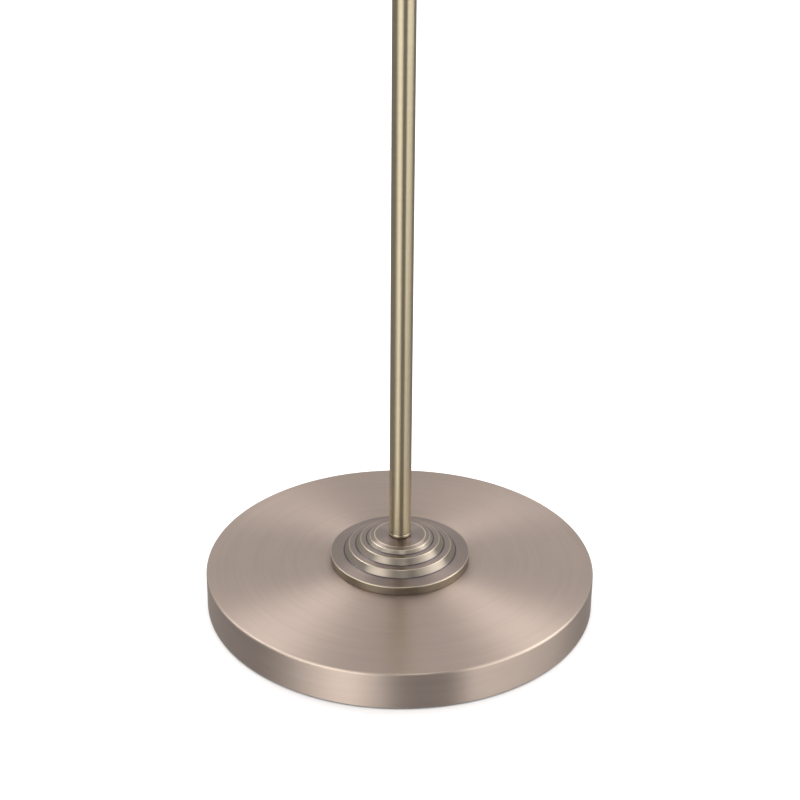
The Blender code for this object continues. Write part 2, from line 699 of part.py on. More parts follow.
def build_head(wrist):
    washer_slide = pivot("head_washer_slide", HEAD_PIVOT, wrist)
    knob_turn = pivot("head_knob_turn", HEAD_PIVOT, washer_slide)
    knuckle_hardware("head", wrist, washer_slide, knob_turn, 8 * MM, 12 * MM)

    head = pivot("head_tilt", HEAD_PIVOT, wrist)
    knuckle_half("head_knuckle", 1, 10.5 * MM, WRIST_REACH, head, ALONG_MINUS_X)
    cup = piece("socket_cup", lathe(cup_outline(), MEDIUM), "antique_brass", head, (0, 0, 0), ALONG_X)
    seat, shaft = build_holder(head)
    boolean(cup, "DIFFERENCE", shaft)

    shade_back = CUP_FRONT + GAP
    place = (shade_back, 0, 0)
    shade = piece("shade", lathe(shade_outline(), LARGE), "antique_brass", head, place, ALONG_X)
    below_low = (-MM, -SHADE_RADIUS - MM, -SHADE_RADIUS - MM)
    below_high = (SHADE_LENGTH + MM, SHADE_RADIUS + MM, -SHADE_RIM_DROP)
    boolean(shade, "DIFFERENCE", tool("shade_mouth", box(below_low, below_high), head, place))
    build_bulb(head, seat)

    bush = ring(2.2 * MM, 4.5 * MM, CUP_RADIUS + GAP, CUP_RADIUS + 3 * MM)
    piece("switch_bush", lathe(bush, SMALL), "antique_brass", head, (SWITCH_AT, 0, 0))
    switch = pivot("switch_turn", HEAD_PIVOT + Vector((SWITCH_AT, 0, 0)), head)
    knob = thumb_knob(17 * MM, CUP_RADIUS + 3 * MM + GAP, 1.8 * MM, 6.5 * MM, 10 * MM)
    piece("switch_knob", knob, "antique_brass", switch)


def main():
    for obj in list(bpy.data.objects):
        bpy.data.objects.remove(obj)
    build_base()
    build_pole()
    build_clamp()
    carriage = pivot("height_slide", (0, 0, 0))
    mast = build_mast(carriage)
    arm = build_arm(mast)
    build_head(build_wrist(arm))


main()
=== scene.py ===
"""The looks of a pharmacy floor lamp in brushed antique brass, on a plain pale studio floor."""

import math

import bmesh
import bpy
from mathutils import Matrix, Vector


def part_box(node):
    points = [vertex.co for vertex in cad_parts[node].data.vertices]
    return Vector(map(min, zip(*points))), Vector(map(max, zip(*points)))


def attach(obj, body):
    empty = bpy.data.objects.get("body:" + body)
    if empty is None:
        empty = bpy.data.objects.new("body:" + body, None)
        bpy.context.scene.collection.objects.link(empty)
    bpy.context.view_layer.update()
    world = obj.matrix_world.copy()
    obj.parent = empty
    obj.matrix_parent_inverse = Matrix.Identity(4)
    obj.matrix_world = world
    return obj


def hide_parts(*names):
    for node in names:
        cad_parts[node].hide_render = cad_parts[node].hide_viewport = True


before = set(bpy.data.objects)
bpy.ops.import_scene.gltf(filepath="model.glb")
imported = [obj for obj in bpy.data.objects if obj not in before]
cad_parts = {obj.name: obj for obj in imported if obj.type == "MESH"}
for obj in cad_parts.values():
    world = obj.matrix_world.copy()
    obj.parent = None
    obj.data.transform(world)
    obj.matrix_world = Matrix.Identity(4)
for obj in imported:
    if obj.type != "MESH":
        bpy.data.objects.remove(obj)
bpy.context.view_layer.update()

MM = 0.001

BRASS = (0.50, 0.42, 0.31)
# Lighter bare brass: the brush lines, and worn edges that also carry a painted highlight.
WORN_AND_HIGHLIGHT_BRASS = (0.78, 0.69, 0.50)
CREVICE_SHADE = (0.10, 0.09, 0.095, 1)  # near-black painted shade for inward corners, where shade falls in the crevices


def centre(node):
    """Middle of a CAD node's box."""
    low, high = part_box(node)
    return (Vector(low) + Vector(high)) / 2


# ---------------------------------------------------------------- sizes from the frame

COVER_LOW, COVER_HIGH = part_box("base_cover")
BASE_RADIUS = (COVER_HIGH[0] - COVER_LOW[0]) / 2
COVER_TOP = COVER_HIGH[2]
CROWN = 3.6 * MM  # rise of the cover's top from its rim to the foot trim
RIM_HEIGHT = COVER_TOP - CROWN
TRIM_LOW, TRIM_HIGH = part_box("foot_trim")
POLE_LOW, POLE_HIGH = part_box("lower_pole")
MAST_LOW, MAST_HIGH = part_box("upper_pole")
COLLAR_LOW, COLLAR_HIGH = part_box("clamp_collar")
ARM_PIVOT = Vector((0, 0, centre("tilt_screw").z))
HEAD_PIVOT = Vector((centre("head_screw").x, 0, centre("head_screw").z))
CLAMP_POINT = Vector((0, 0, centre("height_knob").z))
SHADE_DROP = HEAD_PIVOT.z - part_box("shade")[0][2]  # lamp axis down to the mouth of the shade

POLE_RADIUS = 8 * MM
MAST_RADIUS = 6 * MM
POLE_WALL = 1 * MM
GAP = 0.3 * MM  # between pieces that touch
SHEET = 1.2 * MM  # spun sheet of the cover, the foot trim and the shade
STEM_HOLE = 5.3 * MM  # radius of the holes that the stem goes through
CORD_HOLE = 5 * MM
BUSH_BACK, BUSH_FRONT = -4 * MM, 2.6 * MM  # ends of the cord bush, from the skirt's face
TRIM_FLANGE = 10.4 * MM  # top of the foot trim's flange above the rim of the cover
TRIM_STEPS = (  # foot radius, top radius, foot and top above the rim of the cover
    (41.6 * MM, 38.0 * MM, 11.4 * MM, 16.5 * MM),
    (32.9 * MM, 29.4 * MM, 16.8 * MM, 21.3 * MM),
    (24.9 * MM, 22.4 * MM, 21.3 * MM, 23.8 * MM),
)
LARGE_DISC, LARGE_REACH = 12 * MM, 24 * MM  # radius of a knuckle's disc, and pivot to shoulder
SMALL_DISC, SMALL_REACH = 10.5 * MM, 16 * MM
DISC_NEAR, DISC_FAR = 1.0 * MM, 7.0 * MM  # faces of a knuckle's disc, from the joint's middle plane
KNOB_FLUTES = 36
RING_FLUTES = 48

ALONG_Z = Matrix()
ALONG_X = Matrix.Rotation(math.radians(90), 4, "Y")
ALONG_MINUS_X = Matrix.Rotation(math.radians(-90), 4, "Y")
ALONG_Y = Matrix.Rotation(math.radians(-90), 4, "X")
ALONG_MINUS_Y = Matrix.Rotation(math.radians(90), 4, "X")


# ---------------------------------------------------------------- material helpers


def feed(tree, socket, value):
    """Sets a socket to a value, or links it to another node's output."""
    if isinstance(value, bpy.types.NodeSocket):
        tree.links.new(value, socket)
    else:
        socket.default_value = value


def add(tree, kind, inputs=None, **settings):
    """A shader node. inputs maps its sockets to values or to other nodes' outputs."""
    made = tree.nodes.new(kind)
    for key, value in settings.items():
        setattr(made, key, value)
    for socket, value in (inputs or {}).items():
        feed(tree, made.inputs[socket], value)
    return made


def principled(name, **values):
    """A material with one Principled shader. values sets its sockets, with underscores for spaces."""
    material = bpy.data.materials.new(name)
    material.use_nodes = True
    shader = material.node_tree.nodes["Principled BSDF"]
    for key, value in values.items():
        shader.inputs[key.replace("_", " ").title().replace("Ior", "IOR")].default_value = value
    return material, material.node_tree, shader


def math_node(tree, operation, first, second):
    """A calculation on two values."""
    return add(tree, "ShaderNodeMath", {0: first, 1: second}, operation=operation).outputs[0]


def vector_node(tree, operation, first, second=(0, 0, 0)):
    """A calculation on vectors. Its outputs are Vector, or Value for a length or a dot product."""
    return add(tree, "ShaderNodeVectorMath", {0: first, 1: second}, operation=operation)


def shade_of(colour, brightness=1.0):
    """A colour with its alpha, made brighter or darker."""
    return (*(min(1.0, channel * brightness) for channel in colour), 1.0)


def mix_colour(tree, factor, first, second):
    """A colour between two colours."""
    made = add(tree, "ShaderNodeMix", data_type="RGBA")
    for socket in made.inputs:
        if socket.enabled:
            feed(tree, socket, {"Factor": factor, "A": first, "B": second}[socket.name])
    return next(output for output in made.outputs if output.enabled)


def spread(tree, value, low, high, new_low=0.0, new_high=1.0):
    """value, with low to high made new_low to new_high."""
    inputs = {"Value": value, "From Min": low, "From Max": high, "To Min": new_low, "To Max": new_high}
    return add(tree, "ShaderNodeMapRange", inputs).outputs[0]


def noise(tree, vector, scale, detail=2.0, rough=0.5, w=None):
    """A noise value from 0 to 1. With w, the noise is four-dimensional."""
    inputs = {"Vector": vector, "Scale": scale, "Detail": detail, "Roughness": rough}
    if w is None:
        return add(tree, "ShaderNodeTexNoise", inputs).outputs[0]
    return add(tree, "ShaderNodeTexNoise", {**inputs, "W": w}, noise_dimensions="4D").outputs[0]


def bump(tree, shader, height, strength, distance):
    """Fine relief of a material, by a height value. distance is its depth in metres."""
    made = add(tree, "ShaderNodeBump", {"Height": height, "Strength": strength, "Distance": distance})
    tree.links.new(made.outputs[0], shader.inputs["Normal"])


# ---------------------------------------------------------------- materials


def brushed(
    name, colour, rough=0.34, anisotropic=0.85, line=1800.0, arcs=7.0, rubbed_and_highlit=0.6, painted_top_shade=None, wall=None
):
    """Brass brushed round the piece's own Z axis, under a thin brown patina. Outward edges are worn light
    with a painted highlight, and inward corners get near-black painted shade.

    line is how many brush lines there are per metre, arcs how often they break off per radian, and rubbed how
    light the outward edges are. tread and wall are darker colours where it faces along Z and away from Z:
    painted shade for how the light falls on those faces.
    """
    material, tree, shader = principled(
        name, metallic=1.0, anisotropic=anisotropic, anisotropic_rotation=0.25
    )
    coordinates = add(tree, "ShaderNodeTexCoord").outputs
    place = coordinates["Object"]
    flat = vector_node(tree, "MULTIPLY", place, (1, 1, 0)).outputs[0]
    radius = vector_node(tree, "LENGTH", flat).outputs["Value"]
    around = vector_node(tree, "NORMALIZE", flat).outputs[0]
    height = add(tree, "ShaderNodeSeparateXYZ", {0: place}).outputs["Z"]

    along = vector_node(tree, "MULTIPLY", around, (arcs, arcs, arcs)).outputs[0]
    across = add(tree, "ShaderNodeCombineXYZ", {"Z": math_node(tree, "MULTIPLY", radius, line)}).outputs[0]
    lines_at = vector_node(tree, "ADD", along, across).outputs[0]
    level = math_node(tree, "MULTIPLY", height, line)
    fine = noise(tree, lines_at, 1.0, 3.0, 0.65, level)
    broad = noise(tree, lines_at, 0.28, 3.0, 0.6, level)
    cloud = noise(tree, place, 14.0, 2.0, 0.5)

    patina = shade_of(colour)
    facing = add(tree, "ShaderNodeSeparateXYZ", {0: coordinates["Normal"]}).outputs["Z"]
    # Painted shade: darker colours where the piece faces sideways and where it faces up, for how light falls.
    if wall:
        patina = mix_colour(tree, spread(tree, facing, 0.05, 0.35), shade_of(wall), patina)
    if painted_top_shade:
        patina = mix_colour(tree, spread(tree, facing, 0.80, 0.98), patina, shade_of(painted_top_shade))
    tone = spread(tree, math_node(tree, "ADD", cloud, broad), 0.7, 1.3, 0.95, 1.05)
    toned = add(tree, "ShaderNodeHueSaturation", {"Color": patina, "Value": tone}).outputs[0]
    lined = mix_colour(tree, spread(tree, fine, 0.4, 0.75, 0.0, 0.06), toned, shade_of(WORN_AND_HIGHLIGHT_BRASS))
    # Outward edges painted lighter: worn brass with a painted highlight.
    edge = add(tree, "ShaderNodeAttribute", attribute_name="wear_and_shade").outputs["Fac"]
    bare_and_highlit = mix_colour(tree, spread(tree, edge, 0.2, 0.9, 0.0, rubbed_and_highlit), lined, shade_of(WORN_AND_HIGHLIGHT_BRASS))
    # Inward corners: near-black painted shade, where shade falls in the crevices.
    finished = mix_colour(tree, spread(tree, edge, -0.1, -0.9), bare_and_highlit, CREVICE_SHADE)
    tree.links.new(finished, shader.inputs["Base Color"])
    tree.links.new(spread(tree, fine, 0.3, 0.7, rough - 0.03, rough + 0.03), shader.inputs["Roughness"])
    round_axis = add(tree, "ShaderNodeTangent", direction_type="RADIAL", axis="Z")
    tree.links.new(round_axis.outputs[0], shader.inputs["Tangent"])
    bump(tree, shader, fine, 0.06, 0.00005)
    return material


def satin_brass(name, colour):
    """Brass plate brushed along the piece's own Z axis."""
    material, tree, shader = principled(name, metallic=1.0)
    place = add(tree, "ShaderNodeTexCoord").outputs["Object"]
    stretched = add(tree, "ShaderNodeMapping", {"Vector": place, "Scale": (1400, 1400, 60)}).outputs[0]
    fine = noise(tree, stretched, 1.0, 3.0, 0.6)
    cloud = noise(tree, place, 60.0, 3.0, 0.5)
    edge = add(tree, "ShaderNodeAttribute", attribute_name="wear_and_shade").outputs["Fac"]
    patina = mix_colour(tree, spread(tree, cloud, 0.35, 0.65), shade_of(colour, 0.85), shade_of(colour))
    # Bevelled edges painted lighter: worn plate with a painted highlight.
    bare_and_highlit = mix_colour(tree, spread(tree, edge, 0.2, 0.9, 0.0, 0.6), patina, shade_of(WORN_AND_HIGHLIGHT_BRASS))
    tree.links.new(bare_and_highlit, shader.inputs["Base Color"])
    tree.links.new(spread(tree, fine, 0.3, 0.7, 0.26, 0.40), shader.inputs["Roughness"])
    bump(tree, shader, fine, 0.12, 0.00005)
    return material


def plain_metal(name, colour, rough):
    """Plated steel or bare brass with faint blotches and a fine grain."""
    material, tree, shader = principled(name, metallic=1.0)
    place = add(tree, "ShaderNodeTexCoord").outputs["Object"]
    cloud = noise(tree, place, 120.0, 4.0, 0.6)
    blotched = mix_colour(tree, cloud, shade_of(colour, 0.72), shade_of(colour))
    tree.links.new(blotched, shader.inputs["Base Color"])
    tree.links.new(spread(tree, cloud, 0.3, 0.7, rough - 0.06, rough + 0.12), shader.inputs["Roughness"])
    bump(tree, shader, noise(tree, place, 900.0, 2.0), 0.08, 0.00005)
    return material


def grainy(name, colour, rough, grain, depth, sheen=0.0):
    """A dull surface with a grain: plastic, nylon, painted iron or felt. grain is grains per metre."""
    material, tree, shader = principled(name, sheen_weight=sheen)
    place = add(tree, "ShaderNodeTexCoord").outputs["Object"]
    cloud = noise(tree, place, 25.0, 3.0)
    mottled = mix_colour(tree, cloud, shade_of(colour, 0.75), shade_of(colour))
    tree.links.new(mottled, shader.inputs["Base Color"])
    tree.links.new(spread(tree, cloud, 0.3, 0.7, rough - 0.05, rough + 0.08), shader.inputs["Roughness"])
    bump(tree, shader, noise(tree, place, grain, 3.0, 0.6), 0.35, depth)
    return material


def enamel(name):
    """Glossy warm-white stove enamel, as inside the shade, with a slight orange-peel."""
    material, tree, shader = principled(name, coat_weight=0.5, coat_roughness=0.08)
    place = add(tree, "ShaderNodeTexCoord").outputs["Object"]
    cloud = noise(tree, place, 14.0, 3.0)
    white = mix_colour(tree, cloud, (0.78, 0.76, 0.70, 1), (0.86, 0.85, 0.80, 1))
    tree.links.new(white, shader.inputs["Base Color"])
    tree.links.new(spread(tree, cloud, 0.3, 0.7, 0.24, 0.34), shader.inputs["Roughness"])
    bump(tree, shader, noise(tree, place, 260.0, 1.0), 0.12, 0.0001)
    return material


def opal_glass(name):
    """Frosted lamp glass that lets some light into its body."""
    material, tree, shader = principled(
        name, transmission_weight=0.25, ior=1.5, subsurface_weight=0.25, subsurface_scale=0.004
    )
    place = add(tree, "ShaderNodeTexCoord").outputs["Object"]
    cloud = noise(tree, place, 40.0, 3.0)
    white = mix_colour(tree, cloud, (0.90, 0.89, 0.85, 1), (0.95, 0.94, 0.91, 1))
    tree.links.new(white, shader.inputs["Base Color"])
    tree.links.new(spread(tree, cloud, 0.3, 0.7, 0.22, 0.32), shader.inputs["Roughness"])
    bump(tree, shader, noise(tree, place, 1500.0, 2.0), 0.15, 0.00003)
    return material


# The cover's top and the trim's flat step tops and side walls are painted darker: painted shade.
COVER_BRASS = brushed(
    "brass_cover", (0.69, 0.565, 0.495), 0.40, 0.9, 1000.0, 5.0, rubbed_and_highlit=0.15, painted_top_shade=(0.47, 0.375, 0.325)
)
TRIM_BRASS = brushed(
    "brass_trim", (0.45, 0.385, 0.325), line=1600.0, painted_top_shade=(0.27, 0.215, 0.195), wall=(0.30, 0.26, 0.21)
)
POLE_BRASS = brushed("brass_pole", (0.54, 0.47, 0.33), 0.34, 0.9, 1500.0, 2.0)
PART_BRASS = brushed("brass_parts", BRASS)
PLATE_BRASS = satin_brass("brass_plates", BRASS)
BARE_BRASS = plain_metal("bare_brass", (0.70, 0.58, 0.33), 0.28)
ZINC = plain_metal("zinc_steel", (0.60, 0.61, 0.62), 0.34)
IRON = grainy("painted_iron", (0.045, 0.045, 0.05), 0.55, 500.0, 0.0004)
FELT = grainy("black_felt", (0.028, 0.027, 0.027), 0.9, 1600.0, 0.0006, 0.4)
PLASTIC = grainy("black_plastic", (0.022, 0.022, 0.024), 0.42, 900.0, 0.0001)
NYLON = grainy("nylon", (0.80, 0.78, 0.71), 0.42, 300.0, 0.0001)
ENAMEL = enamel("white_enamel")
OPAL = opal_glass("opal_glass")


# ---------------------------------------------------------------- shape helpers


def rounded(corners, steps=4):
    """An outline of (radius, z, mark) points from corners of (radius, z, setback).

    A setback rounds its corner. The mark is 1 on the middle of an outward corner, -1 in an inward one and 0
    on
    flats: the brasses paint outward corners worn light with a painted highlight, and inward ones with painted
    shade.
    """
    flats = [Vector(corner[:2]) for corner in corners]
    area = sum(here.cross(after) for here, after in zip(flats, flats[1:] + flats[:1]))
    points = []
    for i, (radius, z, setback) in enumerate(corners):
        here = flats[i]
        if not setback:
            points.append((radius, z, 0.0))
            continue
        before = (flats[i - 1] - here).normalized() * setback
        after = (flats[(i + 1) % len(flats)] - here).normalized() * setback
        outward = math.copysign(1.0, after.cross(before) * area)
        for step in range(steps + 1):
            t = step / steps
            point = here + before * (1 - t) ** 2 + after * t**2
            points.append((point.x, point.y, outward * math.sin(math.pi * t)))
    return points


def spin(outline, facets):
    """A bmesh turned about Z from (radius, z, mark) outline points, the edge and crevice marks kept on its
    vertices.
    """
    turned = bmesh.new()
    wear_and_shade = turned.verts.layers.float.new("wear_and_shade")
    corners = [turned.verts.new((max(point[0], 0.0), 0, point[1])) for point in outline]
    for corner, point in zip(corners, outline):
        corner[wear_and_shade] = point[2]
    edges = [turned.edges.new(pair) for pair in zip(corners, corners[1:] + corners[:1])]
    bmesh.ops.spin(
        turned,
        geom=corners + edges,
        axis=(0, 0, 1),
        cent=(0, 0, 0),
        angle=math.tau,
        steps=facets,
        use_merge=True,
    )
    bmesh.ops.remove_doubles(turned, verts=turned.verts, dist=1e-7)
    bmesh.ops.delete(turned, geom=[e for e in turned.edges if e.is_wire], context="EDGES")
    bmesh.ops.recalc_face_normals(turned, faces=turned.faces)
    return turned


def flute(turned, count, depth, beyond):
    """Sinks count rounded grooves along Z into what is farther out than beyond."""
    for vert in turned.verts:
        radius = math.hypot(vert.co.x, vert.co.y)
        if radius > beyond:
            angle = math.atan2(vert.co.y, vert.co.x)
            share = min(1.0, (radius - beyond) / (0.5 * MM))
            sunk = radius - depth * share * (0.5 - 0.5 * math.cos(count * angle)) ** 2
            vert.co.x *= sunk / radius
            vert.co.y *= sunk / radius


def finish_piece(name, mesh_data, material, body, nodes, place=ALONG_Z, at=(0, 0, 0), sharp=50):
    """A shown piece from a bmesh that rides on a body and stands for CAD nodes."""
    mesh = bpy.data.meshes.new(name)
    mesh_data.to_mesh(mesh)
    mesh_data.free()
    mesh.shade_smooth()
    mesh.set_sharp_from_angle(angle=math.radians(sharp))
    mesh.materials.append(material)
    piece = bpy.data.objects.new(name, mesh)
    bpy.context.scene.collection.objects.link(piece)
    piece.matrix_world = Matrix.Translation(at) @ place
    smooth = piece.modifiers.new("even_normals", "WEIGHTED_NORMAL")
    smooth.keep_sharp = True
    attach(piece, body)
    if nodes:
        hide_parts(*nodes)
    return piece


def turned_piece(name, corners, material, body, nodes, place=ALONG_Z, at=(0, 0, 0), facets=96):
    """A shown piece turned about its own Z from its corners."""
    return finish_piece(name, spin(rounded(corners), facets), material, body, nodes, place, at)


def brass_piece(name, corners, body, nodes, place=ALONG_Z, at=(0, 0, 0), facets=96, material=PART_BRASS):
    """A turned piece in one of the lamp's brasses."""
    return turned_piece(name, corners, material, body, nodes, place, at, facets)


def tube(inner, outer, low, high, edge=0.25 * MM):
    """Corners of a tube or washer with its edges rounded."""
    return [(inner, low, edge), (outer, low, edge), (outer, high, edge), (inner, high, edge)]


def pierce(piece, radius, half_length, place, at):
    """Cuts a round hole into a shown piece."""
    made = spin(tube(0, radius, -half_length, half_length), 64)
    mesh = bpy.data.meshes.new("cutter")
    made.to_mesh(mesh)
    made.free()
    cutter = bpy.data.objects.new("cutter", mesh)
    bpy.context.scene.collection.objects.link(cutter)
    cutter.matrix_world = Matrix.Translation(at) @ place
    piece.modifiers["even_normals"].show_viewport = False
    cut = piece.modifiers.new("cut", "BOOLEAN")
    cut.solver = "EXACT"
    cut.object = cutter
    shown = piece.evaluated_get(bpy.context.evaluated_depsgraph_get())
    piece.data = bpy.data.meshes.new_from_object(shown)
    piece.modifiers.remove(cut)
    piece.modifiers["even_normals"].show_viewport = True
    bpy.data.objects.remove(cutter)


# ---------------------------------------------------------------- base


def cover_corners():
    """Spun cover: crowned top, rounded rim and straight skirt."""
    skirt = COVER_LOW[2]
    flat = TRIM_HIGH[0]
    edge = BASE_RADIUS - 1.0 * MM
    steps = 12
    corners = [(STEM_HOLE, COVER_TOP, 0)]
    for i in range(steps):
        radius = flat + (edge - flat) * i / steps
        rise = math.sin((edge - radius) / (edge - flat) * math.pi / 2)
        corners.append((radius, RIM_HEIGHT + CROWN * rise, 0))
    corners += [
        (BASE_RADIUS, RIM_HEIGHT, 1.9 * MM),
        (BASE_RADIUS, skirt, 0.3 * MM),
        (BASE_RADIUS - SHEET, skirt, 0.3 * MM),
        (BASE_RADIUS - SHEET, RIM_HEIGHT - SHEET, 1.5 * MM),
        (flat, COVER_TOP - SHEET, 0),
        (STEM_HOLE, COVER_TOP - SHEET, 0),
    ]
    return corners


def trim_corners():
    """Flange and three steps. Each step has an upper edge painted lighter, as worn brass with a painted
    highlight, and a crevice at its foot with painted shade.
    """
    foot, top = TRIM_LOW[2], TRIM_HIGH[2]
    rim = TRIM_HIGH[0]
    cap = 19.0 * MM
    flange = RIM_HEIGHT + TRIM_FLANGE
    outside = [(rim, foot, 0.2 * MM), (rim, flange, 0.9 * MM)]
    inside = [(rim - SHEET, foot, 0.2 * MM), (rim - SHEET, flange - SHEET, 0)]
    for foot_radius, top_radius, low, high in TRIM_STEPS:
        outside.append((foot_radius, RIM_HEIGHT + low, 0.9 * MM))
        outside.append((top_radius, RIM_HEIGHT + high, 0.6 * MM))
        inside.append((foot_radius - SHEET, RIM_HEIGHT + low - SHEET, 0))
        inside.append((top_radius - SHEET, RIM_HEIGHT + high - SHEET, 0))
    outside += [(cap, top, 0.8 * MM), (STEM_HOLE, top, 0.2 * MM)]
    inside.append((STEM_HOLE, top - SHEET, 0))
    return outside + inside[::-1]


def bush_corners():
    """Cord bush: a sleeve through the skirt and a rounded flange outside it."""
    return [
        (3.4 * MM, BUSH_BACK, 0.2 * MM),
        (4.6 * MM, BUSH_BACK, 0.2 * MM),
        (4.6 * MM, GAP, 0),
        (7.5 * MM, GAP, 0.2 * MM),
        (7.5 * MM, 1.3 * MM, 0.5 * MM),
        (6.2 * MM, BUSH_FRONT, 0.6 * MM),
        (3.4 * MM, BUSH_FRONT, 0.6 * MM),
    ]


def build_base():
    """Cover, foot trim and cord bush. The cover is pierced behind the bush."""
    cover = brass_piece(
        "cover_skin", cover_corners(), "stand", ["base_cover"], facets=256, material=COVER_BRASS
    )
    brass_piece("trim_skin", trim_corners(), "stand", ["foot_trim"], facets=192, material=TRIM_BRASS)
    bush = centre("cord_bush")
    bush_at = (0, bush.y - (BUSH_BACK + BUSH_FRONT) / 2, bush.z)
    turned_piece(
        "bush_skin", bush_corners(), PLASTIC, "stand", ["cord_bush"], ALONG_Y, bush_at, 64
    )
    pierce(cover, CORD_HOLE, 8 * MM, ALONG_Y, bush_at)


# ---------------------------------------------------------------- poles and clamp


def pole_corners():
    """Lower pole with a small bead at its foot."""
    low, high = POLE_LOW[2], POLE_HIGH[2]
    bore = POLE_RADIUS - POLE_WALL
    bead = POLE_RADIUS + 0.35 * MM
    return [
        (bore, low, 0),
        (POLE_RADIUS - 0.3 * MM, low, 0.1 * MM),
        (bead, low + 0.7 * MM, 0.4 * MM),
        (bead, low + 2.3 * MM, 0.4 * MM),
        (POLE_RADIUS, low + 3.0 * MM, 0.3 * MM),
        (POLE_RADIUS, high, 0.2 * MM),
        (bore, high, 0),
    ]


def collar_corners():
    """Stepped collar that grips the lower pole and guides the upper one."""
    low, high = COLLAR_LOW[2], COLLAR_HIGH[2]
    over_pole = POLE_RADIUS + GAP
    over_mast = MAST_RADIUS + GAP
    return [
        (over_pole, low, 0.2 * MM),
        (9.6 * MM, low, 0.3 * MM),
        (9.6 * MM, low + 3 * MM, 0.3 * MM),
        (10.8 * MM, low + 4.5 * MM, 0.5 * MM),
        (10.8 * MM, low + 7 * MM, 0.3 * MM),
        (12.0 * MM, low + 8.5 * MM, 0.5 * MM),
        (12.0 * MM, high - 4 * MM, 0.5 * MM),
        (10.6 * MM, high - 2.6 * MM, 0.3 * MM),
        (10.6 * MM, high - 1.4 * MM, 0.4 * MM),
        (8.6 * MM, high, 0.4 * MM),
        (over_mast, high, 0.2 * MM),
        (over_mast, POLE_HIGH[2] + GAP, 0),
        (over_pole, POLE_HIGH[2] + GAP, 0),
    ]


def boss_corners():
    """The collar's boss for the thumb screw, outwards from inside the collar's wall."""
    return [
        (2.3 * MM, 11.2 * MM, 0),
        (5 * MM, 11.2 * MM, 0),
        (5 * MM, 16 * MM, 0.6 * MM),
        (2.3 * MM, 16 * MM, 0.2 * MM),
    ]


def knob_corners(start, neck, stem, radius, length):
    """Stem, shoulder, gripped rim and slightly domed face of a knob.

    The stem, of radius stem, runs from start to neck. The grip above it has a radius and a length.
    """
    return [
        (0, start, 0),
        (stem, start, 0.2 * MM),
        (stem, neck, 0),
        (radius * 0.5, neck, 0.3 * MM),
        (radius * 0.5, neck + 2 * MM, 0.3 * MM),
        (radius - MM, neck + 2.5 * MM, 0.3 * MM),
        (radius, neck + 3.5 * MM, 0.4 * MM),
        (radius, neck + length - 1.5 * MM, 0.4 * MM),
        (radius - MM, neck + length - 0.5 * MM, 0.3 * MM),
        (radius * 0.55, neck + length, 0.8 * MM),
        (0, neck + length + 0.9 * MM, 0),
    ]


def knob(name, corners, radius, body, node, place, at):
    """A thumb knob with a fluted grip."""
    made = spin(rounded(corners, 3), KNOB_FLUTES * 6)
    flute(made, KNOB_FLUTES, 0.45 * MM, radius - 0.7 * MM)
    finish_piece(name, made, PART_BRASS, body, [node], place, at)


def grub_screw(name, radius, low, high, body, node, place, at):
    """A set screw with a hexagon socket in its outer end."""
    made = spin(rounded([(0, low, 0), (radius, low, 0.2 * MM), (radius, high, 0.25 * MM), (0, high, 0)]), 36)
    rim = [vert for vert in made.verts if abs(vert.co.z - high) < 1e-6]
    hub = min(rim, key=lambda vert: vert.co.x**2 + vert.co.y**2)
    bmesh.ops.dissolve_verts(made, verts=[hub])
    face = max(made.faces, key=lambda f: (f.calc_center_median().z, len(f.verts)))
    bmesh.ops.inset_region(made, faces=[face], thickness=radius * 0.35, depth=0)
    bmesh.ops.translate(made, verts=face.verts, vec=(0, 0, -0.9 * MM))
    for vert in face.verts:
        angle = math.atan2(vert.co.y, vert.co.x)
        sector = (angle + math.pi / 6) % (math.pi / 3) - math.pi / 6
        hexagon = radius * 0.5 / math.cos(sector)
        vert.co.x = hexagon * math.cos(angle)
        vert.co.y = hexagon * math.sin(angle)
    finish_piece(name, made, ZINC, body, [node], place, at, 30)


def build_poles():
    """Both poles, and the collar with its boss, set screw and thumb screw."""
    brass_piece("pole_skin", pole_corners(), "stand", ["lower_pole"], facets=128, material=POLE_BRASS)
    mast = tube(MAST_RADIUS - POLE_WALL, MAST_RADIUS, MAST_LOW[2], MAST_HIGH[2])
    brass_piece("mast_skin", mast, "mast", ["upper_pole"], material=POLE_BRASS)
    brass_piece("collar_skin", collar_corners(), "stand", ["clamp_collar"])
    brass_piece("boss_skin", boss_corners(), "stand", [], ALONG_MINUS_X, CLAMP_POINT, 64)
    grub_at = (0, 0, centre("collar_screw").z)
    grub_screw("collar_grub", 1.8 * MM, 8.4 * MM, 11.7 * MM, "stand", "collar_screw", ALONG_Y, grub_at)
    grip = 8.5 * MM
    corners = knob_corners(9.7 * MM, 17 * MM, 2.0 * MM, grip, 12 * MM)
    knob("height_grip", corners, grip, "height_knob", "height_knob", ALONG_MINUS_X, CLAMP_POINT)


# ---------------------------------------------------------------- knuckles


def shoulder_corners(reach):
    """The turned shoulder under a knuckle's neck."""
    top = -reach
    foot = top - 10 * MM
    return [
        (0, top, 0),
        (6.5 * MM, top, 0.5 * MM),
        (8.5 * MM, top - 2 * MM, 0.7 * MM),
        (8.5 * MM, top - 5 * MM, 0.4 * MM),
        (7.3 * MM, top - 6 * MM, 0.4 * MM),
        (7.3 * MM, foot + 1.5 * MM, 0.4 * MM),
        (6.5 * MM, foot, 0.3 * MM),
        (0, foot, 0),
    ]


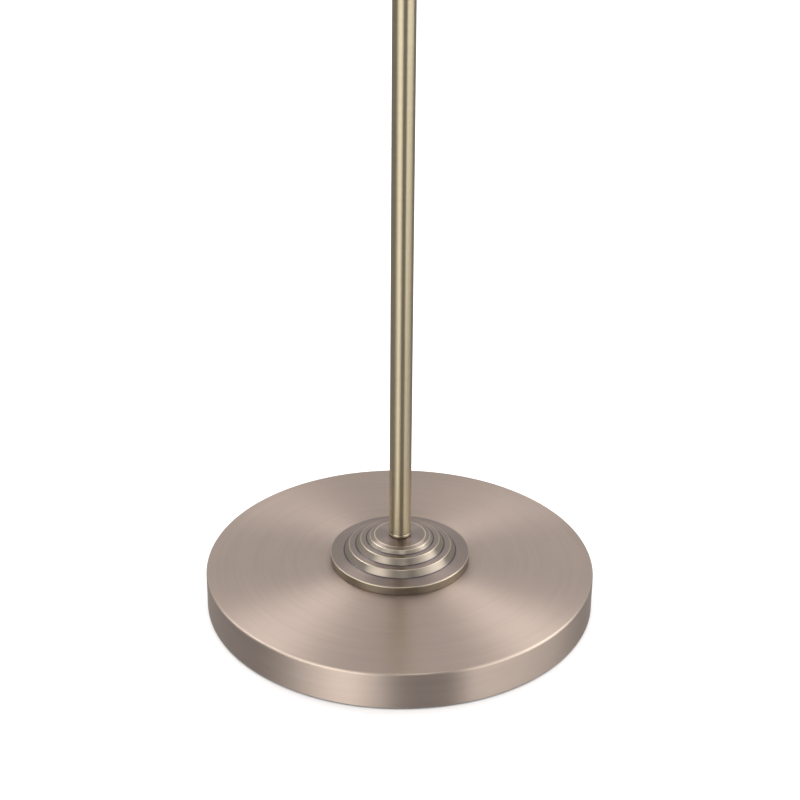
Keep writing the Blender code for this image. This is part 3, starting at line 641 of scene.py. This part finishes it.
def plate(disc_radius, reach, near, far):
    """The flat round-headed tongue of a knuckle, upright in X and Z, between two Y planes."""
    made = bmesh.new()
    neck = disc_radius * 0.42
    join = math.asin(neck / disc_radius)
    steps = 48
    sweep = math.tau - 2 * join
    outline = []
    for i in range(steps + 1):
        angle = -math.pi / 2 + join + sweep * i / steps
        outline.append(Vector((disc_radius * math.cos(angle), near, disc_radius * math.sin(angle))))
    outline.append(Vector((-neck, near, -reach - 1.5 * MM)))
    outline.append(Vector((neck, near, -reach - 1.5 * MM)))
    face = made.faces.new([made.verts.new(point) for point in outline])
    raised = bmesh.ops.extrude_face_region(made, geom=[face])
    moved = [item for item in raised["geom"] if isinstance(item, bmesh.types.BMVert)]
    bmesh.ops.translate(made, verts=moved, vec=(0, far - near, 0))
    bmesh.ops.recalc_face_normals(made, faces=made.faces)
    rims = [edge for edge in made.edges if edge.calc_face_angle(0) > 1.0]
    bmesh.ops.bevel(made, geom=rims, offset=0.6 * MM, segments=4, profile=0.5, affect="EDGES")
    # Bevelled rims are marked to be painted lighter: worn plate with a painted highlight.
    wear_and_shade = made.verts.layers.float.new("wear_and_shade")
    for vert in made.verts:
        if near + 0.01 * MM < vert.co.y < far - 0.01 * MM:
            vert[wear_and_shade] = 1.0
    return made


def knuckle(name, node, side, disc_radius, reach, body, place, at):
    """One half of a knuckle: a turned shoulder, and a flat plate on one side of the joint's middle."""
    brass_piece(f"{name}_shoulder", shoulder_corners(reach), body, [node], place, at)
    near, far = sorted((side * DISC_NEAR, side * DISC_FAR))
    made = plate(disc_radius, reach, near, far)
    finish_piece(f"{name}_plate", made, PLATE_BRASS, body, [node], place, at, 40)


def screw_corners():
    """Domed head and shank. The head is at the low end."""
    return [
        (0, -10.4 * MM, 0),
        (3.4 * MM, -10.3 * MM, 0.9 * MM),
        (5 * MM, -9.2 * MM, 0.5 * MM),
        (5 * MM, -7.3 * MM, 0.2 * MM),
        (3.0 * MM, -7.3 * MM, 0),
        (3.0 * MM, 16 * MM, 0.3 * MM),
        (0, 16 * MM, 0),
    ]


def joint_hardware(prefix, mover, at, radius, length):
    """Screw, washers and grip of a knuckle joint, along -Y."""
    friction = tube(3.4 * MM, 8 * MM, -0.7 * MM, 0.7 * MM, 0.15 * MM)
    nylon = f"{prefix}_friction_washer"
    turned_piece(f"{prefix}_disc_nylon", friction, NYLON, mover, [nylon], ALONG_MINUS_Y, at, 64)
    brass_piece(f"{prefix}_bolt", screw_corners(), mover, [f"{prefix}_screw"], ALONG_MINUS_Y, at)
    washer = tube(3.3 * MM, 7 * MM, 7.3 * MM, 8.5 * MM, 0.2 * MM)
    body = f"{prefix}_washer"
    turned_piece(f"{prefix}_steel_washer", washer, ZINC, body, [body], ALONG_MINUS_Y, at, 64)
    seat = 8.8 * MM
    corners = [(0, seat, 0)] + knob_corners(seat, seat, radius * 0.5, radius, length)[2:]
    knob(f"{prefix}_grip", corners, radius, f"{prefix}_knob", f"{prefix}_knob", ALONG_MINUS_Y, at)


# ---------------------------------------------------------------- arm


def socket_corners():
    """The socket at the arm's end that the wrist turns in."""
    low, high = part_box("swivel_socket")
    face = high[0] - ARM_PIVOT.x
    start = face - 18 * MM + GAP
    return [
        (0, low[0], 0),
        (4.9 * MM, low[0], 0),
        (4.9 * MM, start, 0),
        (7.2 * MM, start, 0.3 * MM),
        (8.0 * MM, start + 1.5 * MM, 0.4 * MM),
        (8.0 * MM, start + 4 * MM, 0.3 * MM),
        (9.2 * MM, start + 5 * MM, 0.4 * MM),
        (9.2 * MM, face - MM, 0.4 * MM),
        (8.2 * MM, face, 0.4 * MM),
        (5.0 * MM, face, 0.2 * MM),
        (5.0 * MM, face - 12 * MM, 0),
        (0, face - 12 * MM, 0),
    ]


def build_arm():
    """The arm's knuckle, the arm, the swivel socket and the wrist."""
    knuckle("mast_joint", "mast_knuckle", -1, LARGE_DISC, LARGE_REACH, "mast", ALONG_Z, ARM_PIVOT)
    knuckle("arm_joint", "arm_knuckle", 1, LARGE_DISC, LARGE_REACH, "arm", ALONG_MINUS_X, ARM_PIVOT)
    joint_hardware("tilt", "mast", ARM_PIVOT, radius=9 * MM, length=13 * MM)
    low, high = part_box("arm_tube")
    arm = tube(MAST_RADIUS - POLE_WALL, MAST_RADIUS, low[0], high[0])
    brass_piece("arm_skin", arm, "arm", ["arm_tube"], ALONG_X, ARM_PIVOT, material=POLE_BRASS)
    brass_piece("socket_skin", socket_corners(), "arm", ["swivel_socket"], ALONG_X, ARM_PIVOT)
    grub_at = (centre("swivel_screw").x, 0, ARM_PIVOT.z)
    grub_screw("swivel_grub", 1.4 * MM, 5.1 * MM, 9.0 * MM, "arm", "swivel_screw", ALONG_Y, grub_at)
    knuckle("wrist_joint", "wrist_knuckle", -1, SMALL_DISC, SMALL_REACH, "wrist", ALONG_X, HEAD_PIVOT)


# ---------------------------------------------------------------- head


def along_head(node):
    """Back and front of a CAD node, measured along the head from its pivot."""
    low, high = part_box(node)
    return low[0] - HEAD_PIVOT.x, high[0] - HEAD_PIVOT.x


def cup_corners():
    """The cup behind the shade, stepped like the foot trim."""
    back, front = along_head("socket_cup")
    wide = 21.5 * MM
    outside = [
        (5.2 * MM, back, 0),
        (10 * MM, back, 0.3 * MM),
        (11 * MM, back + MM, 0.4 * MM),
        (12.5 * MM, back + 5 * MM, 0.7 * MM),
        (15.5 * MM, back + 5.8 * MM, 0.15 * MM),
        (17 * MM, back + 10 * MM, 0.7 * MM),
        (20 * MM, back + 10.8 * MM, 0.15 * MM),
        (wide, back + 15 * MM, 0.8 * MM),
        (wide, front, 0.3 * MM),
    ]
    inside = [(wide - MM, front, 0.3 * MM), (wide - MM, back + 16 * MM, 0), (5.2 * MM, back + MM, 0)]
    return outside + inside


def shade_profile():
    """Outer skin of the cowl from its back hole to its nose, as (radius, distance) points."""
    low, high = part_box("shade")
    length = high[0] - low[0]
    full = (high[1] - low[1]) / 2
    shoulder_radius, shoulder_length, nose_length = 29 * MM, 36 * MM, 46 * MM
    points = [(17.9 * MM, 0), (22 * MM, 0)]
    for i in range(17):
        angle = math.pi / 2 * i / 16
        across = full - shoulder_radius + shoulder_radius * math.sin(angle)
        points.append((across, shoulder_length * (1 - math.cos(angle))))
    barrel = length - shoulder_length - nose_length
    points += [(full, shoulder_length + barrel * i / 6) for i in range(1, 6)]
    for i in range(25):
        angle = math.pi / 2 * i / 24
        points.append((full * math.cos(angle), length - nose_length * (1 - math.sin(angle))))
    return points


def shade_skin():
    """The cowl as a thin skin, turned about Z and cut off level below. Its own X is then down."""
    skin = bmesh.new()
    verts = [skin.verts.new((radius, 0, along)) for radius, along in shade_profile()]
    edges = [skin.edges.new(pair) for pair in zip(verts, verts[1:])]
    bmesh.ops.spin(
        skin, geom=verts + edges, axis=(0, 0, 1), cent=(0, 0, 0), angle=math.tau, steps=192, use_merge=True
    )
    bmesh.ops.remove_doubles(skin, verts=skin.verts, dist=1e-7)
    bmesh.ops.bisect_plane(
        skin,
        geom=skin.verts[:] + skin.edges[:] + skin.faces[:],
        plane_co=(SHADE_DROP, 0, 0),
        plane_no=(1, 0, 0),
        clear_outer=True,
    )
    bmesh.ops.recalc_face_normals(skin, faces=skin.faces)
    apex = max(skin.faces, key=lambda face: -face.calc_center_median().x)
    if apex.normal.x > 0:
        bmesh.ops.reverse_faces(skin, faces=skin.faces)
    return skin


def rim_bead(at):
    """A rolled wire edge round the mouth of the cowl."""
    drop = SHADE_DROP
    bead = 1.1 * MM
    made = bpy.data.curves.new("shade_bead", "CURVE")
    made.dimensions = "3D"
    made.bevel_depth = bead
    made.bevel_resolution = 4
    made.use_fill_caps = True
    reach = [(math.sqrt(radius**2 - drop**2), along) for radius, along in shade_profile() if radius > drop]
    inward = 0.6 * MM
    side = [(drop - bead, across - inward, along) for across, along in reach]
    nose = side[-1][2] + 1.0 * MM
    route = side + [(drop - bead, 0, nose)] + [(x, -y, z) for x, y, z in side[::-1]]
    spline = made.splines.new("POLY")
    spline.points.add(len(route) - 1)
    for point, place in zip(spline.points, route):
        point.co = (*place, 1)
    piece = bpy.data.objects.new("shade_bead", made)
    bpy.context.scene.collection.objects.link(piece)
    piece.matrix_world = Matrix.Translation(at) @ ALONG_X
    made.materials.append(PART_BRASS)
    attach(piece, "head")


def holder_corners():
    """The lamp holder, open at the front."""
    back, front = along_head("lamp_holder")
    return [
        (0, back, 0),
        (15 * MM, back, 0.4 * MM),
        (17.5 * MM, back + 4 * MM, 0.8 * MM),
        (17.5 * MM, front - MM, 0.4 * MM),
        (16.5 * MM, front, 0.4 * MM),
        (14.4 * MM, front, 0.3 * MM),
        (14.4 * MM, back + 8 * MM, 0),
        (0, back + 8 * MM, 0),
    ]


def bulb_corners():
    """The hollow round glass of the lamp and its neck."""
    back, front = along_head("bulb_glass")
    radius = 22.5 * MM
    wall = 1.0 * MM
    middle = front - radius
    corners = [(12.2 * MM, back, 0), (12.5 * MM, back + 9 * MM, 3 * MM)]
    inner = []
    for i in range(17):
        angle = math.radians(-50 + 140 * i / 16)
        corners.append((radius * math.cos(angle), middle + radius * math.sin(angle), 0))
        inner.append(((radius - wall) * math.cos(angle), middle + (radius - wall) * math.sin(angle), 0))
    return corners + inner[::-1] + [(11.5 * MM, back + 9 * MM, 0), (11.2 * MM, back, 0)]


def build_head():
    """The head's knuckle, the cup, the lamp holder with its ring, and the lamp."""
    knuckle("head_joint", "head_knuckle", 1, SMALL_DISC, SMALL_REACH, "head", ALONG_MINUS_X, HEAD_PIVOT)
    joint_hardware("head", "wrist", HEAD_PIVOT, radius=8 * MM, length=12 * MM)
    brass_piece("cup_skin", cup_corners(), "head", ["socket_cup"], ALONG_X, HEAD_PIVOT, 128)
    turned_piece(
        "holder_skin",
        holder_corners(),
        PLASTIC,
        "head",
        ["lamp_holder"],
        ALONG_X,
        HEAD_PIVOT,
    )
    back, front = along_head("shade_ring")
    ring = spin(rounded(tube(17.8 * MM, 22 * MM, back, front, 0.6 * MM)), RING_FLUTES * 6)
    flute(ring, RING_FLUTES, 0.6 * MM, 21 * MM)
    finish_piece("ring_skin", ring, PLASTIC, "head", ["shade_ring"], ALONG_X, HEAD_PIVOT)
    turned_piece(
        "bulb_skin", bulb_corners(), OPAL, "head", ["bulb_glass"], ALONG_X, HEAD_PIVOT
    )


def build_shade():
    """The cowl, brass outside and enamelled inside, with a rolled rim."""
    shade_at = Vector((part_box("shade")[0][0], 0, HEAD_PIVOT.z))
    shade = finish_piece(
        "shade_skin", shade_skin(), PART_BRASS, "head", ["shade"], ALONG_X, shade_at
    )
    shade.modifiers.remove(shade.modifiers["even_normals"])
    shade.data.materials.append(ENAMEL)
    wall = shade.modifiers.new("wall", "SOLIDIFY")
    wall.thickness = SHEET
    wall.offset = -1
    wall.material_offset = 1
    wall.material_offset_rim = 0
    rim_bead(shade_at)


def build_switch():
    """The rotary switch on top of the cup."""
    switch_at = (centre("switch_knob").x, 0, HEAD_PIVOT.z)
    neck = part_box("switch_bush")[0][2] - HEAD_PIVOT.z
    bush = tube(2.2 * MM, 4.5 * MM, neck, neck + 2.7 * MM, 0.5 * MM)
    brass_piece("switch_bush_skin", bush, "head", ["switch_bush"], ALONG_Z, switch_at)
    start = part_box("switch_knob")[0][2] - HEAD_PIVOT.z
    grip = 6.5 * MM
    corners = knob_corners(start, neck + 3.0 * MM, 1.8 * MM, grip, 10 * MM)
    knob("switch_grip", corners, grip, "switch_knob", "switch_knob", ALONG_Z, switch_at)


# ---------------------------------------------------------------- carried-over CAD nodes


def dress_cad_nodes():
    """Materials of the CAD nodes that stay shown: what is inside or under the lamp."""
    dressed = {
        IRON: ("base_weight", "cover_spacer"),
        PLASTIC: ("base_plate",),
        FELT: ("felt_pad",),
        ZINC: ("stem_nipple", "base_washer", "base_nut", "pole_plug", "bulb_cap"),
        NYLON: ("clamp_shoe", "guide_bush"),
        BARE_BRASS: ("mast_stop", "screw_shell", "centre_contact"),
    }
    for material, names in dressed.items():
        for name in names:
            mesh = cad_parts[name].data
            mesh.materials.clear()
            mesh.materials.append(material)


# ---------------------------------------------------------------- studio

CAMERA_AT = (0, -1.1237, 0.7236)
LENS = 78.7  # focal length in millimetres on a 36 mm sensor
UP_AND_BACK = (0, 0.55, 0.835)  # middle of the room's bright part
WARM = (1.0, 0.985, 0.95)
NEUTRAL = (1.0, 1.0, 1.0)
SOFTBOXES = {  # azimuth and spread in degrees, distance, height, height of the middle, radiance, colour
    "softbox_left": (-38, 44, 1.9, 2.9, 0.45, 1.8, WARM),
    "softbox_right": (67, 40, 1.9, 2.9, 0.45, 1.85, WARM),
    "softbox_back_left": (-130, 40, 1.6, 1.0, 2.0, 3.0, NEUTRAL),
    "softbox_back_right": (130, 40, 1.6, 1.0, 2.0, 2.6, NEUTRAL),
    "softbox_front": (12, 30, 0.9, 0.5, 1.9, 2.4, (1.0, 0.99, 0.96)),
}


def build_floor():
    """A pale floor that the metal doesn't mirror and that doesn't block light."""
    mesh_data = bmesh.new()
    bmesh.ops.create_grid(mesh_data, x_segments=2, y_segments=2, size=12)
    mesh = bpy.data.meshes.new("studio_floor")
    mesh_data.to_mesh(mesh)
    mesh_data.free()
    material, tree, shader = principled("pale_floor", roughness=0.9)
    cloud = noise(tree, add(tree, "ShaderNodeTexCoord").outputs["Object"], 3.0)
    tone = mix_colour(tree, cloud, (0.88, 0.88, 0.89, 1), (0.90, 0.90, 0.91, 1))
    tree.links.new(tone, shader.inputs["Base Color"])
    mesh.materials.append(material)
    floor = bpy.data.objects.new("studio_floor", mesh)
    bpy.context.scene.collection.objects.link(floor)
    floor.visible_glossy = False
    floor.visible_shadow = False


def build_world():
    """A room that is bright above and behind the lamp and dim elsewhere. The camera sees plain white."""
    world = bpy.data.worlds.new("studio")
    world.use_nodes = True
    tree = world.node_tree
    tree.nodes.clear()
    direction = add(tree, "ShaderNodeTexCoord").outputs["Generated"]
    towards = vector_node(tree, "DOT_PRODUCT", direction, UP_AND_BACK).outputs["Value"]
    behind = spread(tree, towards, 0.38, 0.9, 0.25, 0.87)
    seen = add(tree, "ShaderNodeLightPath").outputs["Is Camera Ray"]
    level = mix_colour(tree, seen, behind, (1, 1, 1, 1))
    background = add(tree, "ShaderNodeBackground", {"Color": level, "Strength": 1.0})
    output = add(tree, "ShaderNodeOutputWorld")
    tree.links.new(background.outputs[0], output.inputs["Surface"])
    bpy.context.scene.world = world


def softbox(name, azimuth, spread_angle, distance, height, centre_z, radiance, colour):
    """A softbox that faces the pole. azimuth is in degrees from the camera's side, positive to the right."""
    angle = math.radians(azimuth)
    place = Vector((math.sin(angle), -math.cos(angle), 0)) * distance
    place.z = centre_z
    light = bpy.data.lights.new(name, "AREA")
    light.shape = "RECTANGLE"
    light.size = 2 * distance * math.tan(math.radians(spread_angle / 2))
    light.size_y = height
    light.energy = radiance * math.pi * light.size * light.size_y
    light.color = colour
    lamp = bpy.data.objects.new(name, light)
    bpy.context.scene.collection.objects.link(lamp)
    lamp.location = place
    aim = Vector((0, 0, 0.35)) - place
    lamp.rotation_euler = aim.to_track_quat("-Z", "Z").to_euler()
    lamp.visible_camera = False


def overhead_light():
    """A wide soft light from straight above, for the floor and the dull materials only."""
    light = bpy.data.lights.new("overhead", "SUN")
    light.energy = 2.2
    light.angle = math.radians(120)
    lamp = bpy.data.objects.new("overhead", light)
    bpy.context.scene.collection.objects.link(lamp)
    lamp.visible_glossy = False


def build_camera():
    """The photograph's camera: a long lens from the front, well above the base."""
    pitch, yaw, roll = math.radians(26.42), math.radians(-0.04), math.radians(0.46)
    forward = Vector((math.sin(yaw) * math.cos(pitch), math.cos(yaw) * math.cos(pitch), -math.sin(pitch)))
    right = forward.cross(Vector((0, 0, 1))).normalized()
    up = right.cross(forward)
    rolled_right = right * math.cos(roll) + up * math.sin(roll)
    rolled_up = up * math.cos(roll) - right * math.sin(roll)
    data = bpy.data.cameras.new("photo_camera")
    data.sensor_width = 36
    data.lens = LENS
    camera = bpy.data.objects.new("photo_camera", data)
    bpy.context.scene.collection.objects.link(camera)
    turn = Matrix((rolled_right, rolled_up, -forward)).transposed().to_4x4()
    camera.matrix_world = Matrix.Translation(CAMERA_AT) @ turn
    bpy.context.scene.camera = camera


def build_studio():
    """Floor, room, lights and camera."""
    build_floor()
    build_world()
    for name, settings in SOFTBOXES.items():
        softbox(name, *settings)
    overhead_light()
    build_camera()
    bpy.context.scene.view_settings.view_transform = "Standard"


build_base()
build_poles()
build_arm()
build_head()
build_shade()
build_switch()
dress_cad_nodes()
build_studio()
